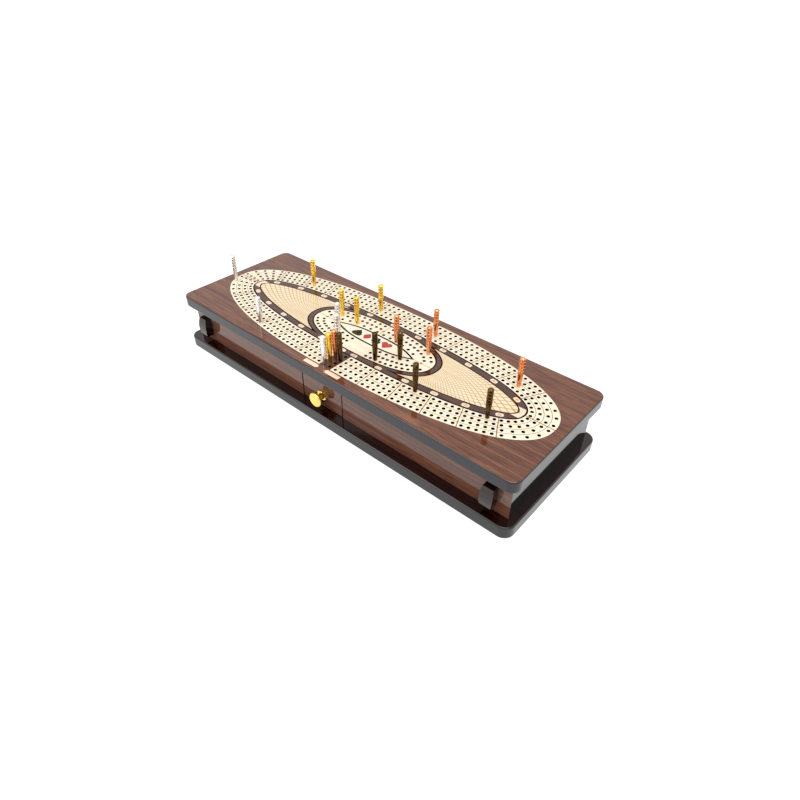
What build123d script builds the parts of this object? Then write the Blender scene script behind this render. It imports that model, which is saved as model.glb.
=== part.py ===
"""Cribbage box with drawer: a dark wooden box whose top is a four-lane cribbage board.

The board is inlaid with maple tracks, holds twenty metal pegs, and the box below it
has one narrow drawer in its front. Sizes are in millimetres. X runs along the box,
the drawer opens towards -Y, Z is up, and the origin is the middle of the underside.
"""
import os
from math import atan2, copysign, cos, degrees, hypot, pi, sin

from build123d import *

# Boards
board_length = 368.0
board_width = 127.0
board_corner_r = 7.5
board_edge_r = 1.4
base_margin = 1.2
top_thickness = 10.5
base_thickness = 11.1

# Walls of the box
wall_height = 32.8
wall_thickness = 8.0
front_overhang = 8.8
end_overhang = 5.5
wall_edge_r = 0.5

# Drawer and its bay
drawer_middle_x = -5.8
bay_width = 47.8
guide_thickness = 5.0
drawer_side_gap = 0.9
drawer_top_gap = 0.8
drawer_bottom_gap = 0.3
drawer_back_gap = 0.3
drawer_front_thickness = 8.0
drawer_side_thickness = 4.0
drawer_side_drop = 7.0
drawer_bottom_thickness = 3.0

# Knob and its screw
knob_height = 11.0
knob_face_d = 12.6
knob_neck_d = 5.8
knob_foot_d = 10.5
knob_foot_height = 3.0
knob_reach = 8.8
knob_rim_thickness = 2.2
knob_rim_bulge = 0.4
knob_face_dish = 0.5
knob_bore_depth = 5.0
screw_d = 3.5
screw_head_d = 7.0
screw_head_height = 2.2
screw_clearance = 0.1
screw_end_gap = 1.0
screw_slot_width = 0.9
screw_slot_depth = 0.9

# Corbel brackets on the long walls
bracket_x = 162.6
bracket_width = 9.0
bracket_bulge = 1.0
bracket_bottom = 17.0
bracket_height = 18.2
bracket_top_depth = 5.6
bracket_mid_depth = 7.6
bracket_foot_depth = 6.8

# Ovals of the board: (a, b, n) in |x/a|^n + |y/b|^n = 1
track_size = (175.2, 55.0, 2.3)
lens_size = (145.5, 26.6, 1.9)
oval_ring_size = (69.4, 28.8, 2.3)
oval_size = (65.4, 26.1, 2.3)
oval_points_round = 64
walk_steps = 600

# Outer track
lane_pitch = 6.0
lane_count = 4
start_gap = 12.4
start_column = 2.9
groups_per_side = 5
holes_per_group = 5
group_fill = 0.195
end_group_fill = 0.208
corner_line_in = (139.0, 16.3)
corner_line_out = (148.2, 33.7)

# Dark lines and the eye
line_width = 1.0
eye_line_width = 1.5
eye_middle_x = 2.5
eye_half_length = 44.0
eye_half_width = 8.4
eye_power = 2.8
eye_end_stretch = 2.0
eye_points = 17

# Inner track: the lanes' ovals from outside in, then for each lane the number of holes in a
# quarter, the first one's arc length and the arc left free at the end
inner_lanes = [(60.8, 22.3, 2.3), (54.8, 16.6, 2.3), (45.6, 10.9, 2.3)]
inner_upper = [(11, 4.6, 7.5), (11, 4.6, 4.5), (6, 3.7, 8.0)]
inner_lower = [(11, 13.8, 7.5), (11, 13.6, 4.5), (6, 12.4, 5.0)]

# Small tiles
lozenge_length = 6.2
lozenge_width = 3.8
lozenge_chamfer = 1.0
end_lozenge_length = 11.5
plaque_length = 16.0
plaque_width = 4.0
plaque_inner_end = 3.6
plaque_gap_to_track = 1.2

# Suit signs; all but the first two values are shares of the size
suit_size = 9.2
suit_pitch = 10.5
diamond_width = 0.86
diamond_fullness = 0.52
heart_lobe_r = 0.285
heart_lobe_x = 0.262
heart_lobe_y = 0.2
heart_notch_y = 0.29
heart_tangent_x = 0.468
heart_tangent_y = 0.008
stalk_foot = 0.2
stalk_neck = 0.04
club_leaf_r = 0.235
club_leaf_x = 0.25
club_top_leaf_y = 0.26
club_side_leaf_y = -0.07
club_middle_r = 0.14

# Depths and fits of the inlays
inlay_thickness = 3.0
tile_thickness = 1.5
suit_thickness = 0.8
glue_line = 0.1

# Peg holes and pegs
hole_d = 2.8
hole_depth = 8.5
peg_clearance = 0.2
peg_tip_gap = 0.3
peg_tip_length = 1.5
peg_tip_d = 1.2
peg_height = 26.5
peg_head_d = 4.6
peg_waist_d = 3.2
peg_head_length = 13.5
peg_crown = 1.2
groove_count = 4
groove_first = 2.3
groove_pitch = 2.8
groove_r = 0.55

# Approximate places of the pegs; each goes to the nearest free hole
peg_places = {
    "silver": [(-169, -13), (-88, -47), (-31, -11), (-17, -22), (-3, -52)],
    "gold": [(-105, 34), (-27, 41), (-47, 12), (-25, 8), (-3, -46)],
    "copper": [(38, 39), (127, 27), (19, 10), (50, 13), (-3, -40)],
    "black": [(75, -31), (132, -20), (24, -20), (39, -6), (3, -40)],
}

# Levels and planes worked out from the sizes above
base_top = base_thickness
wall_top = base_top + wall_height
top_face = wall_top + top_thickness
body_length = board_length - 2 * end_overhang
body_width = board_width - 2 * front_overhang
front_y = -body_width / 2
bay_left = drawer_middle_x - bay_width / 2
bay_right = drawer_middle_x + bay_width / 2
track_width = lane_pitch * lane_count
drawer_z = base_top + drawer_bottom_gap
drawer_height = wall_height - drawer_bottom_gap - drawer_top_gap
drawer_width = bay_width - 2 * drawer_side_gap
drawer_length = body_width - wall_thickness - drawer_back_gap
drawer_tray_height = drawer_height - drawer_side_drop
knob_z = base_top + knob_height

finished = []


def keep(block, name):
    """Label a finished sub-part and put it in the list that is written out."""
    block.part.label = name
    finished.append(block.part)


def grown(size, amount):
    """The same oval with both its half sizes made larger by an amount."""
    return size[0] + amount, size[1] + amount, size[2]


ring_out = grown(track_size, -track_width)


def oval(size, mode=Mode.ADD):
    """Add a filled oval to the open sketch."""
    points = []
    for i in range(oval_points_round):
        c = cos(2 * pi * i / oval_points_round)
        s = sin(2 * pi * i / oval_points_round)
        x = size[0] * copysign(abs(c) ** (2 / size[2]), c)
        y = size[1] * copysign(abs(s) ** (2 / size[2]), s)
        points.append((x, y))
    with BuildLine() as outline:
        Spline(*points, periodic=True)
    make_face(outline.edges(), mode=mode)


def eye(grow, mode=Mode.ADD):
    """Add the almond-shaped eye, a little off the middle, to the open sketch, grown by an amount."""
    half_length = eye_half_length + grow * eye_end_stretch
    half_width = eye_half_width + grow
    upper = []
    for i in range(eye_points):
        x = -half_length + 2 * half_length * i / (eye_points - 1)
        upper.append((x + eye_middle_x, half_width * (1 - abs(x / half_length) ** eye_power)))
    with BuildLine() as outline:
        Spline(*upper)
        Spline(*[(x, -y) for x, y in reversed(upper)])
    make_face(outline.edges(), mode=mode)


def lens(side, shrink, mode=Mode.ADD):
    """Add one lens field, beside the inner oval's ring."""
    with BuildSketch(mode=Mode.PRIVATE) as field:
        oval(grown(lens_size, -shrink))
        oval(grown(oval_ring_size, shrink), mode=Mode.SUBTRACT)
        with Locations((-side * board_length / 2, 0)):
            Rectangle(board_length, board_width, mode=Mode.SUBTRACT)
    add(field.sketch, mode=mode)


def quarter_path(size):
    """Points (arc length, x, y) on a quarter oval, from the long side's middle to the end."""
    path = [(0.0, 0.0, size[1])]
    for i in range(1, walk_steps + 1):
        t = pi / 2 * i / walk_steps
        x = size[0] * sin(t) ** (2 / size[2])
        y = size[1] * max(cos(t), 0.0) ** (2 / size[2])
        step = hypot(x - path[-1][1], y - path[-1][2])
        path.append((path[-1][0] + step, x, y))
    return path


def at_arc(path, arc):
    """The place and direction at an arc length along a quarter path."""
    for low, high in zip(path, path[1:]):
        if high[0] >= arc:
            share = (arc - low[0]) / (high[0] - low[0])
            x = low[1] + share * (high[1] - low[1])
            y = low[2] + share * (high[2] - low[2])
            return x, y, degrees(atan2(high[2] - low[2], high[1] - low[1]))
    return path[-1][1], path[-1][2], -90.0


def group_marks(path, start):
    """Arc lengths of the lines between groups: even along the side, then the oval's end."""
    run_x = corner_line_out[0] - corner_line_in[0]
    run_y = corner_line_out[1] - corner_line_in[1]
    corner = next(arc for arc, x, y in path
                  if (x - corner_line_in[0]) * run_y - (y - corner_line_in[1]) * run_x > 0)
    side = [start + (corner - start) * g / groups_per_side for g in range(groups_per_side + 1)]
    return side + [path[-1][0]]


def track_holes():
    """Centres of the outer track's holes: groups of five on each lane, and the start holes."""
    holes = []
    for lane in range(lane_count):
        size = grown(track_size, -lane_pitch * (lane + 0.5))
        path = quarter_path(size)
        for side_y in (-1, 1):
            marks = group_marks(path, start_gap / 2 if side_y < 0 else 0.0)
            for group, (low, high) in enumerate(zip(marks, marks[1:])):
                fill = group_fill if group < groups_per_side else end_group_fill
                for i in range(holes_per_group):
                    place = i - (holes_per_group - 1) / 2
                    x, y, turn = at_arc(path, (low + high) / 2 + place * (high - low) * fill)
                    holes += [(x, side_y * y), (-x, side_y * y)]
        holes += [(start_column, -size[1]), (-start_column, -size[1])]
    return holes


def inner_holes():
    """Centres of the inner track's holes, with room left under the eye."""
    holes = []
    for side_y, rows in ((1, inner_upper), (-1, inner_lower)):
        for size, (count, first, end_gap) in zip(inner_lanes, rows):
            path = quarter_path(size)
            last = path[-1][0] - end_gap
            for i in range(count):
                x, y, turn = at_arc(path, first + (last - first) * i / (count - 1))
                holes += [(x, side_y * y), (-x, side_y * y)]
    return holes


def lozenge_places():
    """Places of the small tiles on the ring, one beside each group line: (x, y, turn in degrees)."""
    edge = quarter_path(ring_out)
    outer = grown(ring_out, -line_width)
    middle = quarter_path([(a + b) / 2 for a, b in zip(outer, lens_size)])
    places = [(0.0, middle[0][2], 0.0)]
    for side_y, first in ((-1, start_gap / 2), (1, 0.0)):
        marks = group_marks(edge, first)[:-1]
        for arc in marks[1:] if side_y > 0 else marks:
            x, y, turn = at_arc(edge, arc)
            near = min(middle, key=lambda spot: hypot(spot[1] - x, spot[2] - y))
            x, y, turn = at_arc(middle, near[0])
            places.append((x, side_y * y, side_y * turn))
            places.append((-x, side_y * y, -side_y * turn))
    return places


def lozenges(grow):
    """Add every tile of the ring to the open sketch, grown by an amount and kept inside the ring."""
    inset = 3 * glue_line - grow
    with BuildSketch(mode=Mode.PRIVATE) as tiles:
        for x, y, turn in lozenge_places():
            with BuildSketch(mode=Mode.PRIVATE) as tile:
                Rectangle(lozenge_length + 2 * grow, lozenge_width + 2 * grow)
                chamfer(tile.vertices(), lozenge_chamfer)
            with Locations(Location((x, y, 0), (0, 0, turn))):
                add(tile.sketch)
        with Locations((-ring_out[0], 0), (ring_out[0], 0)):
            Rectangle(ring_out[1], end_lozenge_length + 2 * grow)
        oval(grown(ring_out, -line_width - inset), mode=Mode.INTERSECT)
        lens(-1, -inset, mode=Mode.SUBTRACT)
        lens(1, -inset, mode=Mode.SUBTRACT)
        oval(grown(oval_size, inset), mode=Mode.SUBTRACT)
    add(tiles.sketch)


def plaques(grow):
    """Add the two pointed plaques in front of the start gap."""
    half = plaque_width / 2 + grow
    middle_y = -(track_size[1] + plaque_gap_to_track + plaque_width / 2)
    for side in (-1, 1):
        tip = side * (plaque_inner_end - grow)
        shoulder = tip + side * plaque_width / 2
        outer = side * (plaque_inner_end + plaque_length + grow)
        with BuildLine() as outline:
            Polyline(
                (tip, middle_y),
                (shoulder, middle_y - half),
                (outer, middle_y - half),
                (outer, middle_y + half),
                (shoulder, middle_y + half),
                close=True,
            )
        make_face(outline.edges())


def cap_middle(radius, height):
    """Halfway point of a spherical cap's arc: out from the axis, and up from its rim."""
    ball = (radius ** 2 + height ** 2) / (2 * abs(height))
    rise = ball - (ball ** 2 - radius ** 2 / 4) ** 0.5
    return radius / 2, height - copysign(rise, height)


def diamond(size):
    """Diamond with slightly full sides."""
    half_x = size * diamond_width / 2
    half_y = size / 2
    side_x = half_x * diamond_fullness
    side_y = half_y * diamond_fullness
    with BuildLine() as outline:
        ThreePointArc((half_x, 0), (side_x, side_y), (0, half_y))
        ThreePointArc((0, half_y), (-side_x, side_y), (-half_x, 0))
        ThreePointArc((-half_x, 0), (-side_x, -side_y), (0, -half_y))
        ThreePointArc((0, -half_y), (side_x, -side_y), (half_x, 0))
    make_face(outline.edges())


def heart(size, flip=1):
    """Heart, or with flip -1 the leaf of a spade."""
    lobe_x = size * heart_lobe_x
    side_x = size * heart_tangent_x
    side_y = flip * size * heart_tangent_y
    with Locations((-lobe_x, flip * size * heart_lobe_y), (lobe_x, flip * size * heart_lobe_y)):
        Circle(size * heart_lobe_r)
    with BuildLine() as outline:
        Polyline((-side_x, side_y), (0, -flip * size / 2), (side_x, side_y),
                 (0, flip * size * heart_notch_y), close=True)
    make_face(outline.edges())


def stalk(size):
    """Flared stalk of a spade or club."""
    foot = size * stalk_foot
    neck = size * stalk_neck
    with BuildLine() as outline:
        Polyline((-foot, -size / 2), (foot, -size / 2), (neck, 0), (-neck, 0), close=True)
    make_face(outline.edges())


def spade(size):
    """Spade on its stalk."""
    heart(size, flip=-1)
    stalk(size)


def club(size):
    """Club: three leaves on a stalk."""
    leaf_x = size * club_leaf_x
    leaf_y = size * club_side_leaf_y
    with Locations((0, size * club_top_leaf_y), (-leaf_x, leaf_y), (leaf_x, leaf_y)):
        Circle(size * club_leaf_r)
    Circle(size * club_middle_r)
    stalk(size)


suits = {"spade": spade, "diamond": diamond, "club": club, "heart": heart}


def suit_x(name):
    """Place of a suit sign along the eye."""
    return (list(suits).index(name) - (len(suits) - 1) / 2) * suit_pitch


# ---------------------------------------------------------------- the board

all_holes = track_holes() + inner_holes()
track_inner = grown(ring_out, glue_line)


def start_gap_block(width, mode):
    """The plain strip that parts the track at the start."""
    with Locations((0, -track_size[1])):
        Rectangle(width, 2 * track_width + 4 * lane_pitch, mode=mode)


with BuildPart() as top_board:
    with BuildSketch(Plane.XY.offset(wall_top)):
        RectangleRounded(board_length, board_width, board_corner_r)
    extrude(amount=top_thickness)
    fillet(top_board.faces().sort_by(Axis.Z)[-1].edges(), board_edge_r)
    fillet(top_board.faces().sort_by(Axis.Z)[0].edges(), board_edge_r)
    # recess of the outer track, open all round but for the start
    with BuildSketch(Plane.XY.offset(top_face)):
        oval(grown(track_size, glue_line))
        oval(ring_out, mode=Mode.SUBTRACT)
        start_gap_block(start_gap - 2 * glue_line, Mode.SUBTRACT)
    extrude(amount=-inlay_thickness, mode=Mode.SUBTRACT)
    # groove of the ring's outer line, recesses of the lens fields and of the inner oval
    with BuildSketch(Plane.XY.offset(top_face)):
        oval(track_inner)
        oval(grown(ring_out, -line_width - glue_line), mode=Mode.SUBTRACT)
        lens(-1, 0)
        lens(1, 0)
        oval(oval_size)
    extrude(amount=-inlay_thickness, mode=Mode.SUBTRACT)
    with BuildSketch(Plane.XY.offset(top_face)):
        lozenges(glue_line)
        plaques(glue_line)
    extrude(amount=-tile_thickness, mode=Mode.SUBTRACT)
    with Locations(*[(x, y, top_face) for x, y in all_holes]):
        Hole(hole_d / 2, hole_depth)
keep(top_board, "top_board")

with BuildPart() as outer_track_inlay:
    with BuildSketch(Plane.XY.offset(top_face - inlay_thickness)):
        oval(track_size)
        oval(grown(track_inner, glue_line), mode=Mode.SUBTRACT)
        start_gap_block(start_gap, Mode.SUBTRACT)
    extrude(amount=inlay_thickness)
    in_track = [(x, y) for x, y in track_holes() if y > 0 or abs(x) > start_gap / 2]
    with Locations(*[(x, y, top_face) for x, y in in_track]):
        Hole(hole_d / 2, inlay_thickness)
keep(outer_track_inlay, "outer_track_inlay")

with BuildPart() as track_stringing:
    with BuildSketch(Plane.XY.offset(top_face - inlay_thickness)):
        oval(ring_out)
        oval(grown(ring_out, -line_width), mode=Mode.SUBTRACT)
    extrude(amount=inlay_thickness)
keep(track_stringing, "track_stringing")

with BuildPart() as lens_stringing:
    with BuildSketch(Plane.XY.offset(top_face - inlay_thickness)):
        for side in (-1, 1):
            lens(side, glue_line)
        for side in (-1, 1):
            lens(side, glue_line + line_width, mode=Mode.SUBTRACT)
    extrude(amount=inlay_thickness)
keep(lens_stringing, "lens_stringing")

for side, name in ((-1, "left_lens_inlay"), (1, "right_lens_inlay")):
    with BuildPart() as lens_inlay:
        with BuildSketch(Plane.XY.offset(top_face - inlay_thickness)):
            lens(side, 2 * glue_line + line_width)
        extrude(amount=inlay_thickness)
    keep(lens_inlay, name)

with BuildPart() as oval_stringing:
    with BuildSketch(Plane.XY.offset(top_face - inlay_thickness)):
        oval(grown(oval_size, -glue_line))
        oval(grown(oval_size, -glue_line - line_width), mode=Mode.SUBTRACT)
    extrude(amount=inlay_thickness)
keep(oval_stringing, "oval_stringing")

with BuildPart() as inner_track_inlay:
    with BuildSketch(Plane.XY.offset(top_face - inlay_thickness)):
        oval(grown(oval_size, -2 * glue_line - line_width))
    extrude(amount=inlay_thickness)
    with BuildSketch(Plane.XY.offset(top_face)):
        eye(glue_line)
    extrude(amount=-tile_thickness, mode=Mode.SUBTRACT)
    with Locations(*[(x, y, top_face) for x, y in inner_holes()]):
        Hole(hole_d / 2, inlay_thickness)
keep(inner_track_inlay, "inner_track_inlay")

with BuildPart() as eye_stringing:
    with BuildSketch(Plane.XY.offset(top_face - tile_thickness)):
        eye(0)
        eye(-eye_line_width, mode=Mode.SUBTRACT)
    extrude(amount=tile_thickness)
keep(eye_stringing, "eye_stringing")

with BuildPart() as eye_inlay:
    with BuildSketch(Plane.XY.offset(top_face - tile_thickness)):
        eye(-eye_line_width - glue_line)
    extrude(amount=tile_thickness)
    for name, shape in suits.items():
        with BuildSketch(Plane.XY.offset(top_face)):
            with BuildSketch(mode=Mode.PRIVATE) as sign:
                shape(suit_size + 2 * glue_line)
            with Locations((suit_x(name), 0)):
                add(sign.sketch)
        extrude(amount=-suit_thickness, mode=Mode.SUBTRACT)
keep(eye_inlay, "eye_inlay")

for name, shape in suits.items():
    with BuildPart() as suit_inlay:
        with BuildSketch(Plane.XY.offset(top_face - suit_thickness)):
            with BuildSketch(mode=Mode.PRIVATE) as sign:
                shape(suit_size)
            with Locations((suit_x(name), 0)):
                add(sign.sketch)
        extrude(amount=suit_thickness)
    keep(suit_inlay, name + "_inlay")

with BuildPart() as count_lozenges:
    with BuildSketch(Plane.XY.offset(top_face - tile_thickness)):
        lozenges(0)
    extrude(amount=tile_thickness)
keep(count_lozenges, "count_lozenges")

with BuildPart() as start_plaques:
    with BuildSketch(Plane.XY.offset(top_face - tile_thickness)):
        plaques(0)
    extrude(amount=tile_thickness)
keep(start_plaques, "start_plaques")

# ---------------------------------------------------------------- the box

with BuildPart() as base_board:
    with BuildSketch():
        RectangleRounded(board_length + 2 * base_margin, board_width + 2 * base_margin,
                         board_corner_r + base_margin)
    extrude(amount=base_thickness)
    fillet(base_board.faces().sort_by(Axis.Z)[-1].edges(), board_edge_r)
    fillet(base_board.faces().sort_by(Axis.Z)[0].edges(), board_edge_r)
keep(base_board, "base_board")


def wall(name, x_low, x_high, y_low, y_high):
    """One upright wall between the two boards, from its four sides."""
    with BuildPart() as panel:
        with BuildSketch(Plane.XY.offset(base_top)):
            with Locations(((x_low + x_high) / 2, (y_low + y_high) / 2)):
                Rectangle(x_high - x_low, y_high - y_low)
        extrude(amount=wall_height)
    keep(panel, name)


half_body = body_length / 2
wall_back = front_y + wall_thickness
wall("front_wall_left", -half_body, bay_left, front_y, wall_back)
wall("front_wall_right", bay_right, half_body, front_y, wall_back)
wall("back_wall", -half_body, half_body, -wall_back, -front_y)
wall("left_end_wall", -half_body, -half_body + wall_thickness, wall_back, -wall_back)
wall("right_end_wall", half_body - wall_thickness, half_body, wall_back, -wall_back)
wall("left_drawer_guide", bay_left - guide_thickness, bay_left, wall_back, -wall_back)
wall("right_drawer_guide", bay_right, bay_right + guide_thickness, wall_back, -wall_back)


def bracket(name, x, side):
    """A small barrel-shaped corbel, with a bowed front, on the outside of a long wall."""
    half = bracket_width / 2
    bottom = bracket_bottom
    middle = bracket_bottom + bracket_height / 2
    top = bracket_bottom + bracket_height
    face = front_y
    with BuildPart() as corbel:
        with BuildSketch(Plane.YZ.offset(x - bracket_width)):
            with BuildLine():
                Polyline((face - bracket_top_depth, top), (face, top), (face, bottom),
                         (face - bracket_foot_depth, bottom))
                ThreePointArc((face - bracket_foot_depth, bottom), (face - bracket_mid_depth, middle),
                              (face - bracket_top_depth, top))
            make_face()
        extrude(amount=2 * bracket_width)
        with BuildSketch(Plane.XZ.offset(-front_y)):
            with BuildLine():
                Line((x - half, bottom), (x + half, bottom))
                ThreePointArc((x + half, bottom), (x + half + bracket_bulge, middle), (x + half, top))
                Line((x + half, top), (x - half, top))
                ThreePointArc((x - half, top), (x - half - bracket_bulge, middle), (x - half, bottom))
            make_face()
        extrude(amount=2 * bracket_mid_depth, mode=Mode.INTERSECT)
        if side > 0:
            mirror(about=Plane.XZ, mode=Mode.REPLACE)
    keep(corbel, name)


bracket("front_left_bracket", -bracket_x, -1)
bracket("front_right_bracket", bracket_x, -1)
bracket("back_left_bracket", -bracket_x, 1)
bracket("back_right_bracket", bracket_x, 1)

# ---------------------------------------------------------------- the drawer

drawer_left = drawer_middle_x - drawer_width / 2
drawer_right = drawer_middle_x + drawer_width / 2
drawer_back_y = front_y + drawer_length
tray_front = front_y + drawer_front_thickness
side_inner = drawer_width / 2 - drawer_side_thickness

with BuildPart() as drawer_front:
    with BuildSketch(Plane.XY.offset(drawer_z)):
        with Locations((drawer_middle_x, front_y + drawer_front_thickness / 2)):
            Rectangle(drawer_width, drawer_front_thickness)
    extrude(amount=drawer_height)
    fillet(drawer_front.faces().sort_by(Axis.Y)[0].edges(), wall_edge_r)
    with Locations(Location((drawer_middle_x, front_y, knob_z), (90, 0, 0))):
        Hole(screw_d / 2 + screw_clearance, drawer_front_thickness)
keep(drawer_front, "drawer_front")


def tray_board(name, x_low, x_high, y_low, y_high, z_low, z_high):
    """One flat board of the drawer's tray, from its six sides."""
    with BuildPart() as board:
        with BuildSketch(Plane.XY.offset(z_low)):
            with Locations(((x_low + x_high) / 2, (y_low + y_high) / 2)):
                Rectangle(x_high - x_low, y_high - y_low)
        extrude(amount=z_high - z_low)
    keep(board, name)


tray_top = drawer_z + drawer_tray_height
bottom_top = drawer_z + drawer_bottom_thickness
side_back = drawer_back_y - drawer_side_thickness
tray_board("drawer_left_side", drawer_left, drawer_left + drawer_side_thickness,
           tray_front, drawer_back_y, bottom_top, tray_top)
tray_board("drawer_right_side", drawer_right - drawer_side_thickness, drawer_right,
           tray_front, drawer_back_y, bottom_top, tray_top)
tray_board("drawer_back", drawer_middle_x - side_inner, drawer_middle_x + side_inner,
           side_back, drawer_back_y, bottom_top, tray_top)
tray_board("drawer_bottom", drawer_left, drawer_right,
           tray_front, drawer_back_y, drawer_z, bottom_top)

knob_plane = Plane(origin=(drawer_middle_x, front_y, knob_z), x_dir=(1, 0, 0), z_dir=(0, 0, -1))
knob_axis = Axis((drawer_middle_x, front_y, knob_z), (0, -1, 0))

with BuildPart() as drawer_knob:
    # half profile: outwards from the axis, and forwards from the drawer's face
    with BuildSketch(knob_plane):
        rim_back = knob_reach - knob_rim_thickness
        rim_radius = knob_face_d / 2
        with BuildLine():
            Polyline((0, knob_reach - knob_face_dish), (0, 0), (knob_foot_d / 2, 0),
                     (knob_foot_d / 2, knob_foot_height / 2), (knob_neck_d / 2, knob_foot_height))
            Spline((knob_neck_d / 2, knob_foot_height),
                   (knob_neck_d / 2, (knob_foot_height + rim_back) / 2), (rim_radius, rim_back))
            rim_middle = (rim_back + knob_reach) / 2
            ThreePointArc((rim_radius, rim_back), (rim_radius + knob_rim_bulge, rim_middle),
                          (rim_radius - knob_rim_bulge, knob_reach))
            dish_x, dish_y = cap_middle(rim_radius - knob_rim_bulge, -knob_face_dish)
            ThreePointArc((rim_radius - knob_rim_bulge, knob_reach), (dish_x, knob_reach + dish_y),
                          (0, knob_reach - knob_face_dish))
        make_face()
    revolve(axis=knob_axis)
    with Locations(Location((drawer_middle_x, front_y, knob_z), (-90, 0, 0))):
        Hole(screw_d / 2 + screw_clearance, knob_bore_depth)
keep(drawer_knob, "drawer_knob")

with BuildPart() as knob_screw:
    with BuildSketch(knob_plane):
        head_under = -drawer_front_thickness
        screw_end = knob_bore_depth - screw_end_gap
        with BuildLine():
            Polyline((0, screw_end), (0, head_under - screw_head_height))
            dome_x, dome_y = cap_middle(screw_head_d / 2, screw_head_height)
            ThreePointArc((0, head_under - screw_head_height), (dome_x, head_under - dome_y),
                          (screw_head_d / 2, head_under))
            Polyline((screw_head_d / 2, head_under), (screw_d / 2, head_under),
                     (screw_d / 2, screw_end), (0, screw_end))
        make_face()
    revolve(axis=knob_axis)
    with Locations((drawer_middle_x, tray_front + screw_head_height, knob_z)):
        Box(2 * screw_head_d, 2 * screw_slot_depth, screw_slot_width, mode=Mode.SUBTRACT)
keep(knob_screw, "knob_screw")

# ---------------------------------------------------------------- the pegs


def turned_peg(name, x, y):
    """One turned metal peg: pointed shank in its hole, tapered body, ringed head, domed crown."""
    shank_r = hole_d / 2 - peg_clearance
    tip_z = top_face - hole_depth + peg_tip_gap
    head_z = top_face + peg_height - peg_head_length
    crown_z = top_face + peg_height - peg_crown
    head_r = peg_head_d / 2
    with BuildPart() as peg:
        with BuildSketch(Plane(origin=(x, y, 0), x_dir=(1, 0, 0), z_dir=(0, -1, 0))):
            with BuildLine():
                Polyline((0, top_face + peg_height), (0, tip_z), (peg_tip_d / 2, tip_z),
                         (shank_r, tip_z + peg_tip_length), (shank_r, top_face + peg_tip_gap),
                         (peg_waist_d / 2, top_face + peg_tip_gap), (head_r, head_z), (head_r, crown_z))
                crown_x, crown_rise = cap_middle(head_r, peg_crown)
                ThreePointArc((head_r, crown_z), (crown_x, crown_z + crown_rise),
                              (0, top_face + peg_height))
            make_face()
            rings = [(head_r, crown_z - groove_first - i * groove_pitch) for i in range(groove_count)]
            with Locations(*rings):
                Circle(groove_r, mode=Mode.SUBTRACT)
        revolve(axis=Axis((x, y, 0), (0, 0, 1)))
    keep(peg, name)


free_holes = list(all_holes)
for metal, places in peg_places.items():
    for number, (x, y) in enumerate(places, start=1):
        hole = min(free_holes, key=lambda spot: hypot(spot[0] - x, spot[1] - y))
        free_holes.remove(hole)
        turned_peg(f"{metal}_peg_{number}", *hole)

os.makedirs("parts", exist_ok=True)
for piece in finished:
    export_step(piece, f"parts/{piece.label}.step")
print(len(finished), "sub-parts,", len(all_holes), "peg holes, top face at", round(top_face, 2))
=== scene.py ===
# %% [markdown]
# # A cribbage box with a drawer
# The real object is a lacquered rosewood box. Its lid board is inlaid with maple tracks, and
# twenty metal pegs stand in it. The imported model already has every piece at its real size,
# so this lesson gives them their finishes, draws the fine lines and numbers on the board,
# and lights the whole for a product photograph.

import math

import bmesh
import bpy
from mathutils import Matrix, Vector


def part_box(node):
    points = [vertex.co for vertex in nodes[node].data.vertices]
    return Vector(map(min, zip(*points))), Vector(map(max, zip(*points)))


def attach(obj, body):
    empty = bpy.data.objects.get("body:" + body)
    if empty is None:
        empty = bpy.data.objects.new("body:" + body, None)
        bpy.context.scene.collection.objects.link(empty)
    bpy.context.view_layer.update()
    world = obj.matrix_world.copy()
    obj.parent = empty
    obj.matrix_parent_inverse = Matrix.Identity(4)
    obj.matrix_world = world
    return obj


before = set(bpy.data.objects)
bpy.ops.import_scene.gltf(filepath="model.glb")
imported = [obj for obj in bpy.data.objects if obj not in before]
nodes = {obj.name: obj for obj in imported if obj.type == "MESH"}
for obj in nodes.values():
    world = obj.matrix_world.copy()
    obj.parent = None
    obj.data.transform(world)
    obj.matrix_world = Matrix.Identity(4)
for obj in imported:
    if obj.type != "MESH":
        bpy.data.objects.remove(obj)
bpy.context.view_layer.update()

# %% [markdown]
# ## Sizes
# Everything is in metres. The board's top face and the track's half length and half width are
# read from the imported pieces, so the lines drawn later follow the inlays if a size changes.

# %% Named sizes
MM = 0.001
top_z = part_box("top_board")[1].z
track_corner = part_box("outer_track_inlay")[1]
track_size = Vector((track_corner.x, track_corner.y))
oval_power = 2.3
lane_pitch = 6.0 * MM
lane_count = 4
start_gap = 12.4 * MM
print("top face at", round(top_z / MM, 2), "mm, track", [round(v / MM, 2) for v in track_size])


# %% [markdown]
# ## Helpers for materials
# Colours are written as sRGB hex, as a maker would pick them from a swatch, and one function
# turns them to the linear values that the renderer works in. Another small function adds any
# node, sets it, fills or links its inputs and gives back one of its outputs, so that each
# material reads as a short recipe.

# %% Colour and node helpers
def colour(code):
    """An sRGB hex code as linear RGBA."""
    parts = [int(code[i:i + 2], 16) / 255 for i in (1, 3, 5)]
    return tuple(p / 12.92 if p <= 0.04045 else ((p + 0.055) / 1.055) ** 2.4 for p in parts) + (1.0,)


def add(tree, kind, inputs=None, out=0, **settings):
    """Add a node with its settings, its inputs set to values or linked; returns one output."""
    made = tree.nodes.new(kind)
    for key, value in settings.items():
        setattr(made, key, value)
    for key, value in (inputs or {}).items():
        if isinstance(value, bpy.types.NodeSocket):
            tree.links.new(value, made.inputs[key])
        else:
            made.inputs[key].default_value = value
    return made.outputs[out] if len(made.outputs) else made


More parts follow.
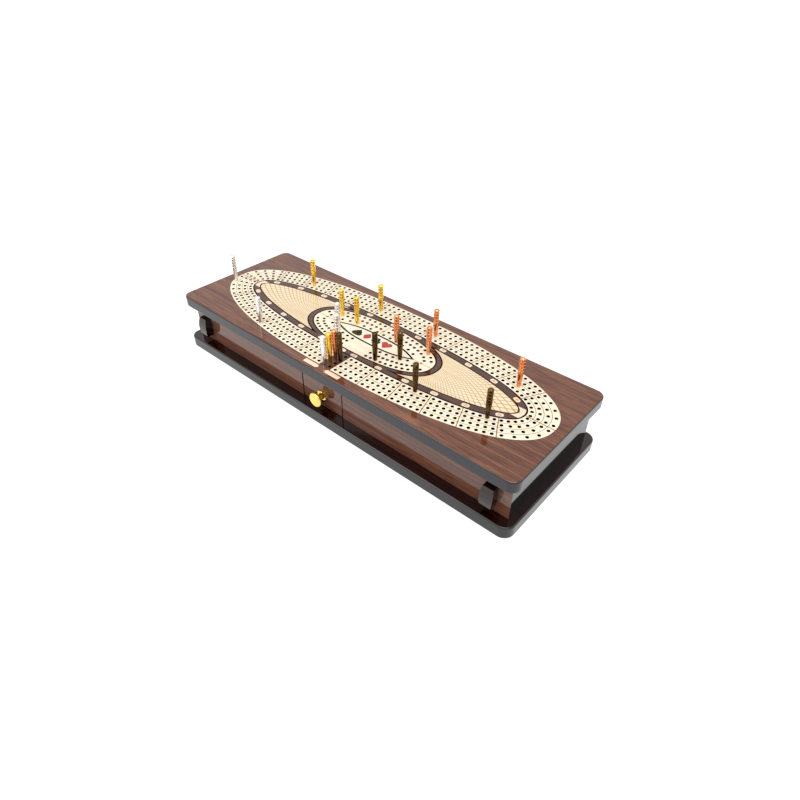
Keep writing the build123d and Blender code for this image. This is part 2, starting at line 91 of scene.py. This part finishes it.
def new_material(name, **surface):
    """A material with a Principled surface; the values are set on the shader's own sockets."""
    made = bpy.data.materials.new(name)
    made.use_nodes = True
    shader = made.node_tree.nodes["Principled BSDF"]
    for key, value in surface.items():
        shader.inputs[key.replace("_", " ")].default_value = value
    return made, made.node_tree, shader


def stops(ramp_output, *pairs):
    """Set the (position, hex code) stops of the ramp that an output belongs to."""
    elements = ramp_output.node.color_ramp.elements
    while len(elements) < len(pairs):
        elements.new(1.0)
    for element, (place, code) in zip(elements, pairs):
        element.position = place
        element.color = colour(code)
    return ramp_output


def grain(tree, length, width, detail=3.0, roughness=0.55, distortion=0.0):
    """Noise drawn out along X: its features are about length by width, in metres."""
    place = add(tree, "ShaderNodeTexCoord", out="Object")
    mapped = add(tree, "ShaderNodeMapping", {"Vector": place, "Scale": (1 / length, 1 / width, 1 / width)})
    return add(tree, "ShaderNodeTexNoise", {"Vector": mapped, "Scale": 1.0, "Detail": detail,
                                            "Roughness": roughness, "Distortion": distortion})


def facing(tree, axis):
    """How far a face looks along an axis: 1 straight along it, 0 square to it."""
    normal = add(tree, "ShaderNodeNewGeometry", out="Normal")
    return add(tree, "ShaderNodeSeparateXYZ", {0: normal}, out=axis)


print("helpers ready")


# %% [markdown]
# ## Rosewood under lacquer
# The boards and walls are Indian rosewood, planed, filled and sprayed with a hard gloss
# lacquer. Three things make it read as wood: slow bands of lighter and darker growth some
# millimetres wide, dark streaks along the grain, and fine pores. The lacquer is a coat with
# its own gloss, so the wood below has none: its specular level is zero, or the dark wood
# would look dusty. The pores are drawn about 0.5 mm wide, which is a little coarser than
# life, so that they still show in the picture. Only one pair of faces of each piece keeps
# the wood's colour: the other faces are painted nearly black, a painted shade on the
# edges, sides and gaps.

# %% Rosewood
under_lacquer = {"Roughness": 0.5, "Specular_IOR_Level": 0.0, "Coat_Weight": 1.0,
                 "Coat_Roughness": 0.07, "Coat_IOR": 1.5}
band_grain = (150 * MM, 3.5 * MM)
streak_grain = (60 * MM, 0.8 * MM)
pore_grain = (14 * MM, 0.5 * MM)
pore_depth = 0.03 * MM


def rosewood(name, dark, middle, light, pore, side, face="Z", coat_roughness=0.05):
    """Lacquered rosewood with its grain along X. The faces that don't look along face get the side colour,
    a painted shade.
    """
    made, tree, shader = new_material(name, **{**under_lacquer, "Coat_Roughness": coat_roughness})
    bands = grain(tree, *band_grain, detail=3.0, distortion=0.5)
    streaks = grain(tree, *streak_grain, detail=3.0, roughness=0.7)
    pores = grain(tree, *pore_grain, detail=1.0)
    blend = add(tree, "ShaderNodeMix", {"Factor": 0.72, 2: bands, 3: streaks})
    ramp = add(tree, "ShaderNodeValToRGB", {"Fac": blend})
    wood = stops(ramp, (0.40, dark), (0.5, middle), (0.60, light))
    pits = add(tree, "ShaderNodeMapRange",
               {"Value": pores, "From Min": 0.55, "From Max": 0.67, "To Max": 0.8})
    wood = add(tree, "ShaderNodeMix", {0: pits, 6: wood, 7: colour(pore)}, out=2, data_type="RGBA")
    # Painted shade: faces that don't look along face take the dark side colour.
    along = add(tree, "ShaderNodeMath", {0: facing(tree, face)}, operation="ABSOLUTE")
    flat = add(tree, "ShaderNodeMapRange", {"Value": along, "From Min": 0.6, "From Max": 0.95})
    wood = add(tree, "ShaderNodeMix", {0: flat, 6: colour(side), 7: wood}, out=2, data_type="RGBA")
    tree.links.new(wood, shader.inputs["Base Color"])
    bump = add(tree, "ShaderNodeBump", {"Height": pits, "Strength": 0.25, "Distance": pore_depth},
               invert=True)
    tree.links.new(bump, shader.inputs["Normal"])
    return made


# Each side colour below is a painted shade for the edges, sides and gaps of the pieces.
board_wood = rosewood("rosewood_board_lacquered", "#482316", "#71402a", "#8b5b41", "#331910",
                      side="#1e1e25")
wall_wood = rosewood("rosewood_wall_lacquered", "#623d2e", "#76493a", "#85583f", "#4a2e23",
                     side="#110a08", face="Y")
# Painted shade: the base, the end walls and the brackets get nearly black wood, for the shade under the
# top board's overhang and on the brackets.
base_wood = rosewood("rosewood_base_painted_shade_lacquered", "#100201", "#1c0603", "#300e08", "#0a0101",
                     side="#1e1b20")
end_wood = rosewood("rosewood_end_painted_shade_lacquered", "#0e0706", "#150b09", "#1e110e", "#080403",
                    side="#0d0706")
bracket_wood = rosewood("rosewood_bracket_painted_shade_lacquered", "#1a0e0b", "#251511", "#342019", "#0f0806",
                        side="#0c0605", face="Y", coat_roughness=0.03)
print([m.name for m in (board_wood, wall_wood, base_wood, end_wood, bracket_wood)])

# %% [markdown]
# ## The darker ring
# Between the tracks the board shows again as a narrow ring, and there it was stained darker.
# The board is one piece, so its material has to know where the ring is: everything inside
# the outer track's outline, |x/a|^n + |y/b|^n < 1, gets the stain. The maple covers the rest.

# %% Stain the ring
ring_stain = 0.55
tree = board_wood.node_tree
shader = tree.nodes["Principled BSDF"]
place = add(tree, "ShaderNodeTexCoord", out="Object")
unit = add(tree, "ShaderNodeMapping",
           {"Vector": place, "Scale": (1 / track_size.x, 1 / track_size.y, 0.0)})
total = 0.0
for axis in "XY":
    part = add(tree, "ShaderNodeSeparateXYZ", {0: unit}, out=axis)
    part = add(tree, "ShaderNodeMath", {0: part}, operation="ABSOLUTE")
    part = add(tree, "ShaderNodeMath", {0: part, 1: oval_power}, operation="POWER")
    total = add(tree, "ShaderNodeMath", {0: part, 1: total}, operation="ADD")
inside = add(tree, "ShaderNodeMath", {0: total, 1: 1.0}, operation="LESS_THAN")
stain = add(tree, "ShaderNodeMath", {0: inside, 1: ring_stain}, operation="MULTIPLY")
wood = shader.inputs["Base Color"].links[0].from_socket
wood = add(tree, "ShaderNodeMix", {0: stain, 6: wood, 7: colour("#24130e")}, out=2, data_type="RGBA")
tree.links.new(wood, shader.inputs["Base Color"])
print("ring stained inside", [round(v / MM, 1) for v in track_size])


# %% [markdown]
# ## Maple inlay
# The tracks are pale maple let into the board and lacquered with it. Maple is nearly plain:
# a faint lengthwise figure and very fine flecks. The drill leaves each hole's wall dark and
# without lacquer, so faces that stand upright inside the inlay are a burnt brown with no
# coat, which is what makes the holes read as black dots.

# %% Maple
figure_grain = (70 * MM, 3.5 * MM)
fleck_grain = (6 * MM, 0.5 * MM)


def maple(name, light, dark, wall="#0c0604"):
    """Lacquered maple with burnt walls; returns the material, its tree, shader and wood colour."""
    made, tree, shader = new_material(name, **under_lacquer)
    figure = grain(tree, *figure_grain, detail=3.0, distortion=0.4)
    flecks = grain(tree, *fleck_grain, detail=1.0)
    blend = add(tree, "ShaderNodeMix", {"Factor": 0.3, 2: figure, 3: flecks})
    wood = stops(add(tree, "ShaderNodeValToRGB", {"Fac": blend}), (0.36, dark), (0.62, light))
    flat = add(tree, "ShaderNodeMath", {0: facing(tree, "Z"), 1: 0.5}, operation="GREATER_THAN")
    wood = add(tree, "ShaderNodeMix", {0: flat, 6: colour(wall), 7: wood}, out=2, data_type="RGBA")
    tree.links.new(wood, shader.inputs["Base Color"])
    tree.links.new(flat, shader.inputs["Coat Weight"])
    return made, tree, shader, wood


track_maple = maple("maple_track_lacquered", "#fdf1db", "#f3e0c2")[0]
eye_maple = maple("maple_eye_lacquered", "#fdf2dd", "#f4e3c6", wall="#1c110a")[0]
print(track_maple.name, eye_maple.name)

# %% [markdown]
# ## The engraved net of the lens fields
# The two lens-shaped fields carry a fine engine-turned net, a traditional ornament. It is two
# families of logarithmic spirals about one point of the box's long axis. Such spirals cross
# every ray at the same angle, so the cells keep their shape and only grow with the distance:
# about 1.4 mm wide beside the eye and 5 mm at the tip. In polar terms each family is a straight
# slope in turn and in the logarithm of distance, folded once for each spiral, and a thin
# share of each fold is tinted brown. It is colour in a flat surface, so a shader draws it.

# %% Engraved net
net_centre = 45.0 * MM
net_spirals = 112
net_slope = 0.55
net_line_share = 0.12
net_tint = 0.8


def netted_maple(name, side):
    """Maple with the net, for the lens on one side of the eye."""
    made, tree, shader, wood = maple(name, "#f7e6c6", "#eed7ae")
    place = add(tree, "ShaderNodeTexCoord", out="Object")
    moved = add(tree, "ShaderNodeMapping", {"Vector": place, "Location": (-net_centre, 0.0, 0.0),
                                            "Scale": (side, 1.0, 0.0)})
    x = add(tree, "ShaderNodeSeparateXYZ", {0: moved}, out="X")
    y = add(tree, "ShaderNodeSeparateXYZ", {0: moved}, out="Y")
    turn = add(tree, "ShaderNodeMath", {0: y, 1: x}, operation="ARCTAN2")
    away = add(tree, "ShaderNodeVectorMath", {0: moved}, out="Value", operation="LENGTH")
    grown = add(tree, "ShaderNodeMath", {0: away, 1: math.e}, operation="LOGARITHM")
    per_turn = net_spirals / (2 * math.pi)
    turn = add(tree, "ShaderNodeMath", {0: turn, 1: per_turn}, operation="MULTIPLY")
    lines = 0.0
    for slope in (net_slope, -net_slope):
        phase = add(tree, "ShaderNodeMath", {0: grown, 1: slope * per_turn, 2: turn},
                    operation="MULTIPLY_ADD")
        fold = add(tree, "ShaderNodeMath", {0: phase, 1: 0.5}, operation="PINGPONG")
        line = add(tree, "ShaderNodeMapRange", {"Value": fold, "From Min": net_line_share / 2,
                                                "From Max": net_line_share, "To Min": 1.0, "To Max": 0.0})
        lines = add(tree, "ShaderNodeMath", {0: line, 1: lines}, operation="MAXIMUM")
    tint = add(tree, "ShaderNodeMath", {0: lines, 1: net_tint}, operation="MULTIPLY")
    wood = add(tree, "ShaderNodeMix", {0: tint, 6: wood, 7: colour("#ad7c3f")}, out=2, data_type="RGBA")
    tree.links.new(wood, shader.inputs["Base Color"])
    return made


left_net = netted_maple("maple_net_left", -1)
right_net = netted_maple("maple_net_right", 1)
print(left_net.name, right_net.name)


# %% [markdown]
# ## Dyed lines, tiles and card signs
# Thin lines of black-dyed veneer border each field. The counting tiles and plaques are a
# warm, peach cream veneer. The card signs are dyed veneer too. All were sanded flush and
# lacquered with the board. The dark dyed pieces soaked up much of the lacquer, so they have
# a weaker coat. The drawer's inside is bare, sanded pine, so it has no coat at all.

# %% Veneers
veneer_grain_length = 18 * MM


def veneer(name, dark, light, width=2.0 * MM, **surface):
    """Dyed veneer with a faint grain of a given width, under the board's lacquer."""
    made, tree, shader = new_material(name, **{**under_lacquer, **surface})
    figure = grain(tree, veneer_grain_length, width, detail=3.0)
    shade = stops(add(tree, "ShaderNodeValToRGB", {"Fac": figure}), (0.35, dark), (0.65, light))
    tree.links.new(shade, shader.inputs["Base Color"])
    return made


black_line = veneer("veneer_dyed_black", "#060403", "#120b08", Coat_Weight=0.15)
tile_peach = veneer("veneer_peach_tile", "#f6d3b4", "#fde4cb")
sign_black = veneer("veneer_sign_black", "#0c100c", "#263229", Coat_Weight=0.5)
sign_red = veneer("veneer_sign_red", "#b03420", "#c84c35", Coat_Weight=0.5)
line_tan = veneer("line_burnt_tan", "#8a6028", "#a67a3a", width=0.6 * MM)
number_ink = veneer("number_burnt_dark", "#7a5238", "#8a6045", width=0.6 * MM)
inside_wood = veneer("pine_drawer_inside", "#c49a6c", "#d9b488", width=1.2 * MM,
                     Coat_Weight=0.0, Roughness=0.7)
print("veneers made")


# %% [markdown]
# ## Metals
# The pegs were turned on a lathe and plated in four colours, and the knob is polished brass.
# Polish dulls where fingers wear it, so the colour and the roughness wander a little. Faces
# that look down are painted darker, a painted shade under the upper lips of the grooves that
# draws the rings; on the antique bronze pegs it also stands for their dark patina. A metal
# keeps the default IOR, and its colour does the rest.

# %% Metals
wear_spacing = 6 * MM


def turned_metal(name, tone, shade, underside_shade, roughness):
    """Turned metal. shade tints the worn patches, and underside_shade is the painted shade on the faces
    that look down.
    """
    made, tree, shader = new_material(name, Metallic=1.0)
    place = add(tree, "ShaderNodeTexCoord", out="Object")
    wear = add(tree, "ShaderNodeTexNoise", {"Vector": place, "Scale": 1 / wear_spacing, "Detail": 2.0})
    tint = stops(add(tree, "ShaderNodeValToRGB", {"Fac": wear}), (0.35, shade), (0.62, tone))
    # Painted shade: faces that look down take the darker underside colour.
    under = add(tree, "ShaderNodeMapRange",
                {"Value": facing(tree, "Z"), "From Min": -0.15, "From Max": -0.5})
    tint = add(tree, "ShaderNodeMix", {0: under, 6: tint, 7: colour(underside_shade)}, out=2, data_type="RGBA")
    tree.links.new(tint, shader.inputs["Base Color"])
    rough = add(tree, "ShaderNodeMapRange",
                {"Value": wear, "To Min": roughness * 0.7, "To Max": roughness * 1.3})
    tree.links.new(rough, shader.inputs["Roughness"])
    return made


# The third colour of each metal below is the painted shade on its downward faces.
peg_metals = {
    "silver": turned_metal("silver_plate_polished", "#f3f2f1", "#e4e2df", "#77736f", 0.18),
    "gold": turned_metal("gold_plate_polished", "#fbd562", "#efbf45", "#7a4c12", 0.18),
    "copper": turned_metal("copper_plate_polished", "#f5a676", "#e58c55", "#7c3417", 0.18),
    "black": turned_metal("antique_bronze_plate", "#6a5230", "#402f18", "#140d06", 0.2),
}
knob_brass = turned_metal("brass_polished", "#f7dc7c", "#ecca64", "#8a6422", 0.1)
screw_steel = turned_metal("steel_zinc_plated", "#c9ccd0", "#b2b5ba", "#7c7f84", 0.3)
print(sorted(peg_metals))

# %% [markdown]
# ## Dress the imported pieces
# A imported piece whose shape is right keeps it, and only gets its finish. The list below says
# which finish each piece of the real box has.

# %% Assign the finishes
finishes = {
    board_wood: ["top_board"],
    base_wood: ["base_board"],
    end_wood: ["left_end_wall", "right_end_wall"],
    wall_wood: ["front_wall_left", "front_wall_right", "back_wall", "drawer_front"],
    bracket_wood: ["front_left_bracket", "front_right_bracket", "back_left_bracket", "back_right_bracket"],
    track_maple: ["outer_track_inlay", "inner_track_inlay"],
    eye_maple: ["eye_inlay"],
    left_net: ["left_lens_inlay"],
    right_net: ["right_lens_inlay"],
    black_line: ["track_stringing", "lens_stringing", "oval_stringing", "eye_stringing"],
    tile_peach: ["count_lozenges", "start_plaques"],
    sign_black: ["spade_inlay", "club_inlay"],
    sign_red: ["diamond_inlay", "heart_inlay"],
    inside_wood: ["left_drawer_guide", "right_drawer_guide", "drawer_left_side", "drawer_right_side",
                  "drawer_back", "drawer_bottom"],
    knob_brass: ["drawer_knob"],
    screw_steel: ["knob_screw"],
}
for metal, finish in peg_metals.items():
    finishes[finish] = [name for name in nodes if name.startswith(metal + "_peg_")]
for finish, names in finishes.items():
    for name in names:
        nodes[name].data.materials.clear()
        nodes[name].data.materials.append(finish)
dressed = sum(len(names) for names in finishes.values())
print("dressed", dressed, "of", len(nodes))


# %% [markdown]
# ## Lane lines and group lines
# Thin burnt lines part the four lanes, and others cross the track after every fifth hole.
# They repeat and follow paths, so Geometry Nodes lay them: a path drawn as loose edges
# becomes a curve, and a flat strip is swept along it. The strip stands only a few hundredths
# of a millimetre above the maple, like ink under lacquer.

# %% A strip along a path, in Geometry Nodes
def strip_tree():
    """A node group that sweeps a flat strip along each chain of edges."""
    group = bpy.data.node_groups.new("inked_line", "GeometryNodeTree")
    panel = group.interface
    panel.new_socket("Geometry", in_out="INPUT", socket_type="NodeSocketGeometry")
    panel.new_socket("Width", in_out="INPUT", socket_type="NodeSocketFloat")
    panel.new_socket("Height", in_out="INPUT", socket_type="NodeSocketFloat")
    panel.new_socket("Material", in_out="INPUT", socket_type="NodeSocketMaterial")
    panel.new_socket("Geometry", in_out="OUTPUT", socket_type="NodeSocketGeometry")
    start = add(group, "NodeGroupInput").node.outputs
    path = add(group, "GeometryNodeMeshToCurve", {"Mesh": start["Geometry"]})
    upright = add(group, "GeometryNodeSetCurveNormal", {"Curve": path}, mode="Z_UP")
    profile = add(group, "GeometryNodeCurvePrimitiveQuadrilateral",
                  {"Width": start["Width"], "Height": start["Height"]})
    swept = add(group, "GeometryNodeCurveToMesh",
                {"Curve": upright, "Profile Curve": profile, "Fill Caps": True})
    real = add(group, "GeometryNodeRealizeInstances", {0: swept})
    done = add(group, "GeometryNodeSetMaterial", {"Geometry": real, "Material": start["Material"]})
    add(group, "NodeGroupOutput", {0: done})
    return group


inked_line = strip_tree()
line_height = 0.06 * MM
lane_line_width = 0.45 * MM
group_line_width = 0.8 * MM
inner_line_width = 0.5 * MM


def to_mesh(thing):
    """Replace an object's data with the plain mesh that its modifiers make."""
    made = bpy.data.meshes.new_from_object(thing.evaluated_get(bpy.context.evaluated_depsgraph_get()))
    thing.modifiers.clear()
    thing.data = made


def ink(name, chains, width, finish, height=line_height):
    """Lay inked lines along chains of points (x, y), on the board's top face."""
    points = [(x, y, top_z) for chain in chains for x, y in chain]
    edges = []
    first = 0
    for chain in chains:
        edges += [(first + i, first + i + 1) for i in range(len(chain) - 1)]
        first += len(chain)
    mesh = bpy.data.meshes.new(name)
    mesh.from_pydata(points, edges, [])
    thing = bpy.data.objects.new(name, mesh)
    bpy.context.scene.collection.objects.link(thing)
    modifier = thing.modifiers.new("ink", "NODES")
    modifier.node_group = inked_line
    sockets = {item.name: item.identifier for item in inked_line.interface.items_tree
               if item.in_out == "INPUT"}
    modifier[sockets["Width"]] = width
    modifier[sockets["Height"]] = height
    modifier[sockets["Material"]] = finish
    to_mesh(thing)
    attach(thing, "box")
    print(name, "has", len(thing.data.polygons), "faces")


# %% [markdown]
# ## The ovals
# Every curve of the board is one family, |x/a|^n + |y/b|^n = 1 with n = 2.3, which is a
# little squarer than an ellipse. Stepping both half sizes in by the lane pitch gives the
# next lane. The same walk along a quarter of it gives the places of the group lines.

# %% Points on the ovals
def oval_point(size, turn):
    """A point of an oval at a turn in radians, from the long side's middle towards +X."""
    s, c = math.sin(turn), math.cos(turn)
    x = size[0] * math.copysign(abs(s) ** (2 / oval_power), s)
    y = size[1] * math.copysign(abs(c) ** (2 / oval_power), c)
    return x, y


def lane_line(size, steps=240):
    """The oval as one open chain round the board, parted at the start."""
    chain = [oval_point(size, math.pi + 2 * math.pi * i / steps) for i in range(steps + 1)]
    chain = [p for p in chain if p[1] > 0 or abs(p[0]) > start_gap / 2]
    edge = start_gap / 2
    return [(-edge, -size[1])] + chain + [(edge, -size[1])]


def quarter_walk(size, steps=600):
    """(arc length, x, y) along a quarter oval, from the long side's middle."""
    walk = [(0.0, 0.0, size[1])]
    for i in range(1, steps + 1):
        x, y = oval_point(size, math.pi / 2 * i / steps)
        walk.append((walk[-1][0] + math.hypot(x - walk[-1][1], y - walk[-1][2]), x, y))
    return walk


def at_arc(walk, arc):
    """The point at an arc length along a walk."""
    low = max((p for p in walk if p[0] <= arc), key=lambda p: p[0])
    return low[1], low[2]


def lane_size(lanes_in):
    """An oval's half sizes, a number of lanes in from the track's outer edge."""
    return track_size.x - lanes_in * lane_pitch, track_size.y - lanes_in * lane_pitch


lane_chains = [lane_line(lane_size(i)) for i in range(1, lane_count)]
ink("lane_lines", lane_chains, lane_line_width, line_tan)

# %% [markdown]
# ## Group lines
# On each quarter five groups of five holes share the long side evenly, up to a slanted line
# near the corner, and a sixth group takes the end. A group line joins the points where its
# mark falls on the track's inner and outer edges, so it stands square to the lanes.

# %% Group lines across the track
corner_in = Vector((139.0, 16.3)) * MM
corner_out = Vector((148.2, 33.7)) * MM
groups_per_side = 5


def corner_arc(walk):
    """Arc length at which a walk crosses the slanted corner line."""
    run = corner_out - corner_in
    return next(a for a, x, y in walk if (x - corner_in.x) * run.y - (y - corner_in.y) * run.x > 0)


def group_chains():
    """The chains of all group lines, on both sides and both ends."""
    chains = []
    for side_y in (-1, 1):
        start = start_gap / 2 if side_y < 0 else 0.0
        for g in range(0 if side_y > 0 else 1, groups_per_side + 1):
            chain = []
            for i in range(lane_count + 1):
                walk = quarter_walk(lane_size(i))
                chain.append(at_arc(walk, start + (corner_arc(walk) - start) * g / groups_per_side))
            for side_x in (-1, 1) if g else (1,):
                chains.append([(side_x * x, side_y * y) for x, y in chain])
    for side_x in (-1, 1):
        chains.append([(side_x * lane_size(i)[0], 0.0) for i in range(lane_count + 1)])
    return chains


ink("group_lines", group_chains(), group_line_width, line_tan)

# %% [markdown]
# ## Numbers on the tiles
# Each tile beside a group line counts the holes up to it: 5, 10, 15 and so on up to 120, from
# the start round by the left. The tiles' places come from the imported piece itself. It is one
# mesh with many separate tiles, so a merged copy is split into its islands, and each island's
# middle is a tile's place. The numbers are set in a plain face, each turned to stand square to
# the ring of tiles, and made into one mesh.

# %% Places of the tiles
def island_middles(name):
    """Middle (x, y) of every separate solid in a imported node's mesh, found on a merged copy."""
    copy = bmesh.new()
    copy.from_mesh(nodes[name].data)
    bmesh.ops.remove_doubles(copy, verts=copy.verts, dist=0.01 * MM)
    left = set(copy.verts)
    middles = []
    while left:
        island = []
        front = [left.pop()]
        while front:
            corner = front.pop()
            island.append(corner.co.copy())
            near = {edge.other_vert(corner) for edge in corner.link_edges} & left
            left -= near
            front += near
        middles.append([(min(c[i] for c in island) + max(c[i] for c in island)) / 2 for i in (0, 1)])
    copy.free()
    return middles


def way_round(place):
    """How far round the board a place is, from the start by the left: 0 to 1."""
    return math.atan2(-place[0], -place[1]) / (2 * math.pi) % 1


tile_places = sorted(island_middles("count_lozenges"), key=way_round)
print(len(tile_places), "tiles, the first at", [round(v / MM, 1) for v in tile_places[0]])

# %% Set the numbers
ring_size = (147.8 * MM, 28.3 * MM)
number_height = 2.0 * MM
words = bmesh.new()


def set_text(text, height, place, turn):
    """Add flat text to the words, centred on a place of the top face and turned about Z."""
    curve = bpy.data.curves.new("text", "FONT")
    curve.body = text
    curve.extrude = line_height / 2
    curve.resolution_u = 3
    thing = bpy.data.objects.new("text", curve)
    mesh = bpy.data.meshes.new_from_object(thing)
    low = [min(v.co[i] for v in mesh.vertices) for i in (0, 1)]
    high = [max(v.co[i] for v in mesh.vertices) for i in (0, 1)]
    middle = Vector(((low[0] + high[0]) / 2, (low[1] + high[1]) / 2, 0.0))
    size = height / (high[1] - low[1])
    flat = Matrix.Diagonal((size, size, 1.0, 1.0)) @ Matrix.Translation(-middle)
    mesh.transform(Matrix.Translation((*place, top_z)) @ Matrix.Rotation(turn, 4, "Z") @ flat)
    words.from_mesh(mesh)
    bpy.data.objects.remove(thing)


for count, (x, y) in enumerate(tile_places[1:], start=1):
    lean_x = math.copysign((abs(x) / ring_size[0]) ** (oval_power - 1) / ring_size[0], x)
    lean_y = (abs(y) / ring_size[1]) ** (oval_power - 1) / ring_size[1]
    turn = math.atan2(-lean_x if y > 0 else lean_x, lean_y)
    set_text(str(5 * count), number_height, (x, y), turn)
number_mesh = bpy.data.meshes.new("tile_numbers")
words.to_mesh(number_mesh)
words.free()
number_mesh.materials.append(number_ink)
numbers = bpy.data.objects.new("tile_numbers", number_mesh)
bpy.context.scene.collection.objects.link(numbers)
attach(numbers, "box")
print("numbers have", len(number_mesh.polygons), "faces")

# %% [markdown]
# ## Small marks of the inner track
# Burnt lines part the inner track at its two ends and over the eye, and each carries a small
# rhombus. A rhombus is a strip as wide as it is long, laid at 45 degrees.

# %% Lines and rhombuses
oval_low, oval_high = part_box("inner_track_inlay")
eye_low, eye_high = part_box("eye_stringing")
inner_chains = [[(oval_low.x, 0.0), (eye_low.x, 0.0)], [(eye_high.x, 0.0), (oval_high.x, 0.0)],
                [(0.0, eye_high.y), (0.0, oval_high.y)]]
ink("inner_lines", inner_chains, inner_line_width, line_tan)

end_mark_x = 54.0 * MM
eye_mark_y = 15.0 * MM
mark = 0.8 * MM
mark_places = [(-end_mark_x, 0.0), (end_mark_x, 0.0), (0.0, eye_mark_y)]
marks = [[(x - mark, y - mark), (x + mark, y + mark)] for x, y in mark_places]
ink("inner_marks", marks, 2 * mark * math.sqrt(2), line_tan, height=line_height * 1.5)

# %% [markdown]
# ## Room, light and camera
# A product photograph on white: a large soft light overhead to the right, a weaker one from
# the front, and bright surroundings for the lacquer to reflect. The floor and the world are
# white only to the camera and to reflections, and the floor keeps the object's soft shadow.

# %% Floor
def seen_directly(tree):
    """1 for rays from the camera, or by way of a mirror or clear glass, and 0 for light."""
    rays = add(tree, "ShaderNodeLightPath").node.outputs
    seen = add(tree, "ShaderNodeMath", {0: rays["Is Camera Ray"], 1: rays["Is Glossy Ray"]},
               operation="MAXIMUM")
    return add(tree, "ShaderNodeMath", {0: seen, 1: rays["Is Transmission Ray"]}, operation="MAXIMUM")


scene = bpy.context.scene
scene.view_settings.view_transform = "Standard"
white = colour("#ffffff")
floor_reach = 6.0
floor_glow = 0.86
corners = [(x * floor_reach, y * floor_reach, 0) for x, y in ((-1, -1), (1, -1), (1, 1), (-1, 1))]
floor_mesh = bpy.data.meshes.new("floor")
floor_mesh.from_pydata(corners, [], [(0, 1, 2, 3)])
floor = bpy.data.objects.new("floor", floor_mesh)
scene.collection.objects.link(floor)

floor_paint = bpy.data.materials.new("floor_white")
floor_paint.use_nodes = True
tree = floor_paint.node_tree
tree.nodes.clear()
plain = add(tree, "ShaderNodeBsdfDiffuse", {"Color": colour("#c8c8c8")})
shadow_part = add(tree, "ShaderNodeBsdfDiffuse", {"Color": colour("#a8a8a8")})
glow = add(tree, "ShaderNodeEmission", {"Color": white, "Strength": floor_glow})
lifted = add(tree, "ShaderNodeAddShader", {0: shadow_part, 1: glow})
choice = add(tree, "ShaderNodeMixShader", {0: seen_directly(tree), 1: plain, 2: lifted})
add(tree, "ShaderNodeOutputMaterial", {"Surface": choice})
floor_mesh.materials.append(floor_paint)
print("floor ready")

# %% World
room_light = 0.68
world = bpy.data.worlds.new("studio")
scene.world = world
world.use_nodes = True
tree = world.node_tree
tree.nodes.clear()
soft = add(tree, "ShaderNodeBackground", {"Color": white, "Strength": room_light})
backdrop = add(tree, "ShaderNodeBackground", {"Color": white, "Strength": 1.0})
choice = add(tree, "ShaderNodeMixShader", {0: seen_directly(tree), 1: soft, 2: backdrop})
add(tree, "ShaderNodeOutputWorld", {"Surface": choice})
print("world ready")


# %% Lamps
def soft_light(name, place, aim, width, power):
    """A square area light at a place, turned to a point."""
    lamp = bpy.data.lights.new(name, "AREA")
    lamp.size = width
    lamp.energy = power
    thing = bpy.data.objects.new(name, lamp)
    scene.collection.objects.link(thing)
    thing.location = place
    thing.rotation_euler = (Vector(aim) - Vector(place)).to_track_quat("-Z", "Y").to_euler()


soft_light("overhead_right", place=(0.35, -0.25, 1.3), aim=(0, 0, 0.05), width=0.9, power=9.0)
soft_light("front_left", place=(-0.6, -1.1, 0.7), aim=(0, 0, 0.04), width=0.7, power=5.0)
print("lamps ready")

# %% Camera
camera_place = Vector((296.4, -310.3, 332.1)) * MM
camera_aim = Vector((72.2, -46.7, 54.4)) * MM
camera_roll = math.radians(0.935)
camera_data = bpy.data.cameras.new("camera")
camera_data.sensor_width = 36.0
camera_data.lens = 26.99
camera_data.clip_start = 0.01
camera = bpy.data.objects.new("camera", camera_data)
scene.collection.objects.link(camera)
camera.location = camera_place
look = (camera_aim - camera_place).to_track_quat("-Z", "Y").to_matrix().to_4x4()
camera.matrix_world = Matrix.Translation(camera_place) @ look @ Matrix.Rotation(camera_roll, 4, "Z")
scene.camera = camera
print("camera at", [round(v, 4) for v in camera_place])
